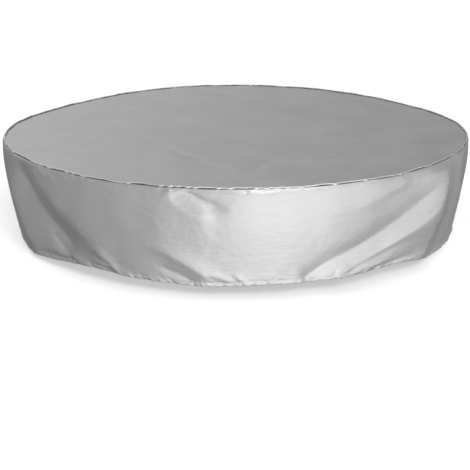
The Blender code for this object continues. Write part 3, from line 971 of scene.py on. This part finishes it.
def stitch_row(name, node, centres, ahead, out):
    """A row of lockstitches: each is a short thread that dips into the cloth at both ends."""
    ahead = unit(ahead)
    out = unit(out - ahead * (out * ahead).sum(1, keepdims=True))
    across = np.cross(out, ahead)
    sides, rings = THREAD_SIDES, []
    for share, height, girth in STITCH_SHAPE:
        reach = THREAD / 2 * girth
        for side in range(sides):
            a = 2 * math.pi * side / sides
            rings.append(centres + ahead * share * STITCH_LENGTH
                         + out * (height + reach * math.sin(a)) + across * reach * math.cos(a))
    points = np.stack(rings, 1)
    count, size = points.shape[:2]
    faces = []
    for first in range(0, size - sides, sides):
        for side in range(sides):
            a, b = first + side, first + (side + 1) % sides
            faces.append((a, b, b + sides, a + sides))
    starts = np.arange(count) * size
    polygons = (np.array(faces)[None] + starts[:, None, None]).reshape(-1, 4).tolist()
    for end in (range(sides)[::-1], range(size - sides, size)):
        polygons += (np.array(end)[None] + starts[:, None]).tolist()
    mesh = new_mesh(name, points.reshape(-1, 3).tolist(), polygons)
    mesh.shade_smooth()
    finish_piece(new_object(name, mesh), (thread,), 0, "thread", node)


def on_skirt_row(azimuth, drop):
    """Points on the skirt, with the directions round it and down it at each."""
    step, fall = 0.4 * STITCH_PITCH / RIM_RADIUS, 0.006
    ahead = skirt_points(azimuth + step, drop) - skirt_points(azimuth - step, drop)
    down = skirt_points(azimuth, drop + fall) - skirt_points(azimuth, drop - fall)
    return skirt_points(azimuth, drop), ahead, down


def make_stitches():
    azimuth = full_turn(round(RIM_LENGTH / STITCH_PITCH))
    hem_drop = 1 - HEM_CHANNEL / SKIRT_DROP
    here, ahead, down = on_skirt_row(azimuth, hem_drop)
    stitch_row("hem_stitches", "hem_stitching", here, ahead, np.cross(down, ahead))

    height = -SEAM_ALLOWANCE * 0.4
    step = 0.4 * STITCH_PITCH / RIM_RADIUS
    here = rim_points(azimuth, BINDING_INNER + TAPE / 2, height)
    ahead = rim_points(azimuth + step, 0, height) - rim_points(azimuth - step, 0, height)
    stitch_row("rim_stitches", "rim_stitching", here, ahead, -here * [1, 1, 0])

    drops = np.arange(0.02, hem_drop - 0.012, STITCH_PITCH / SKIRT_DROP)
    for side, middle in SIDE_SEAMS:
        for row, sign in (("front", -1), ("rear", 1)):
            if side == "left":
                sign = -sign
            azimuth = np.full(len(drops), middle + sign * STITCH_ROW_OFFSET / RIM_RADIUS)
            here, ahead, down = on_skirt_row(azimuth, drops)
            stitch_row(f"side_seam_stitches_{side}_{row}", f"side_seam_stitch_{side}_{row}",
                       here, down, np.cross(down, ahead))

    end = 0.003                # from the last stitch to the cloth's edge
    half = math.sqrt((TOP_EDGE - 0.004) ** 2 - (TOP_SEAM_Y + STITCH_ROW_OFFSET) ** 2) - end
    x = np.arange(-half, half, STITCH_PITCH)
    for row, sign in (("front", -1), ("rear", 1)):
        y = np.full(len(x), TOP_SEAM_Y + sign * STITCH_ROW_OFFSET)
        here, after = [stacked(u, y, top_lift(u, y) + CLOTH + TOP_RISE) for u in (x, x + 0.001)]
        up = np.broadcast_to([0.0, 0.0, 1.0], here.shape)
        stitch_row(f"top_seam_stitches_{row}", f"top_seam_stitch_{row}", here, after - here, up)


# ---- camera, floor and light
CAMERA_AT, CAMERA_LENS, CAMERA_SENSOR = (0.0, -3.532, 0.769), 68.94, 36.0
CAMERA_DOWN, CAMERA_ROLL = 19.157, 0.14   # degrees
FLOOR_REACH, FLOOR_GAP, FLOOR_GLOW = 60.0, 0.012, 0.44
WALL_RADIUS, WALL_LOW, WALL_HIGH, WALL_SIDES, WALL_GLOW = 52.0, -1.0, 45.0, 64, 1.0
KEY_ENERGY, KEY_SPREAD, KEY_TOWARDS = 1.1, 24, (-0.3, 0.8, -0.75)

# Soft parts of the room's light: azimuth, elevation and half-width in degrees, and strength
AMBIENT, CEILING_LOBE = 0.09, (0, 90, 70, 0.22)
ROOM_LOBES = ((15, -6, 25, 1.5), (14, -40, 28, 1.55), (58, -4, 30, 0.88), (90, -4, 26, 0.3),
              (-40, -8, 34, 0.4), (-100, -14, 15, 0.2))
# The rear light, its share from below the horizon, and how far that change spreads
REAR_LOBE, UNDER_HORIZON, HORIZON = (-142, 28, 36, 0.92), 0.3, 0.12


def make_camera():
    """The photograph's view: level with the front, looking down on the top at a low angle."""
    data = bpy.data.cameras.new("camera")
    data.sensor_width, data.lens = CAMERA_SENSOR, CAMERA_LENS
    camera = new_object("camera", data)
    camera.location = CAMERA_AT
    camera.rotation_euler = Euler((math.radians(90 - CAMERA_DOWN), math.radians(CAMERA_ROLL), 0.0))
    bpy.context.scene.camera = camera


def staging(name, corners, faces, tones, specular, mottle, glow):
    """White paper that the camera sees and that throws no light on the cover."""
    material, tree, shader = new_material(name + "_paper", tones[2], 0.9, specular=specular)
    paint(tree, shader, link_noise(tree, object_vector(tree), *mottle), tones)
    shader.inputs["Emission Color"].default_value = WHITE
    shader.inputs["Emission Strength"].default_value = glow
    mesh = new_mesh(name, corners, faces)
    mesh.materials.append(material)
    made = new_object(name, mesh)
    made.visible_diffuse = made.visible_glossy = False
    return made


def make_floor():
    level = -SKIRT_DROP - SIDE_DROP - FLOOR_GAP
    square = ((-1, -1), (1, -1), (1, 1), (-1, 1))
    corners = [(x * FLOOR_REACH, y * FLOOR_REACH, level) for x, y in square]
    staging("floor", corners, [(0, 1, 2, 3)], FLOOR_TONES, 0.1, (1.5, 4.0), FLOOR_GLOW)


def make_backdrop():
    """A white wall far off all round."""
    sides = WALL_SIDES
    turn = [2 * math.pi * i / sides for i in range(sides)]
    corners = [(WALL_RADIUS * math.cos(a), WALL_RADIUS * math.sin(a), z)
               for z in (WALL_LOW, WALL_HIGH) for a in turn]
    faces = [(i, (i + 1) % sides, sides + (i + 1) % sides, sides + i) for i in range(sides)]
    wall = staging("backdrop", corners, faces, BACKDROP_TONES, 0.0, (0.2, 2.0), WALL_GLOW)
    wall.visible_shadow = False


def make_light():
    """A pale room: a broad bright front a little to the right, a soft rear left, a dim floor."""
    world = bpy.data.worlds.new("studio")
    bpy.context.scene.world = world
    world.use_nodes = True
    tree = world.node_tree
    background = tree.nodes["Background"]
    direction = add_node(tree, "TexCoord", {}, "Generated")

    def lobe(azimuth, elevation, width, strength):
        a, e = math.radians(azimuth), math.radians(elevation)
        towards = (math.sin(a) * math.cos(e), -math.cos(a) * math.cos(e), math.sin(e))
        inputs = {0: direction, 1: towards}
        dot = add_node(tree, "VectorMath", inputs, "Value", operation="DOT_PRODUCT")
        sharp = 1 / (1 - math.cos(math.radians(width)))
        power = maths(tree, "MULTIPLY", maths(tree, "SUBTRACT", dot, 1.0), sharp)
        return maths(tree, "MULTIPLY", maths(tree, "EXPONENT", power, 0.0), strength)

    total = maths(tree, "ADD", lobe(*CEILING_LOBE), AMBIENT)
    for shape in ROOM_LOBES:
        total = maths(tree, "ADD", total, lobe(*shape))
    height = add_node(tree, "SeparateXYZ", {"Vector": direction}, "Z")
    above = scaled(tree, height, -HORIZON, HORIZON, UNDER_HORIZON, 1.0)
    total = maths(tree, "ADD", total, maths(tree, "MULTIPLY", lobe(*REAR_LOBE), above))
    tree.links.new(total, background.inputs["Strength"])
    background.inputs["Color"].default_value = WHITE

    data = bpy.data.lights.new("key", "SUN")
    data.energy, data.angle = KEY_ENERGY, math.radians(KEY_SPREAD)
    key = new_object("key", data)
    key.rotation_euler = Vector(KEY_TOWARDS).to_track_quat("-Z", "Y").to_euler()


bpy.context.scene.view_settings.view_transform = "Standard"
make_camera()
make_floor()
make_backdrop()
make_light()
make_rim()
make_elastic()
make_skirt()
make_top()
make_tapes()
make_stitches()
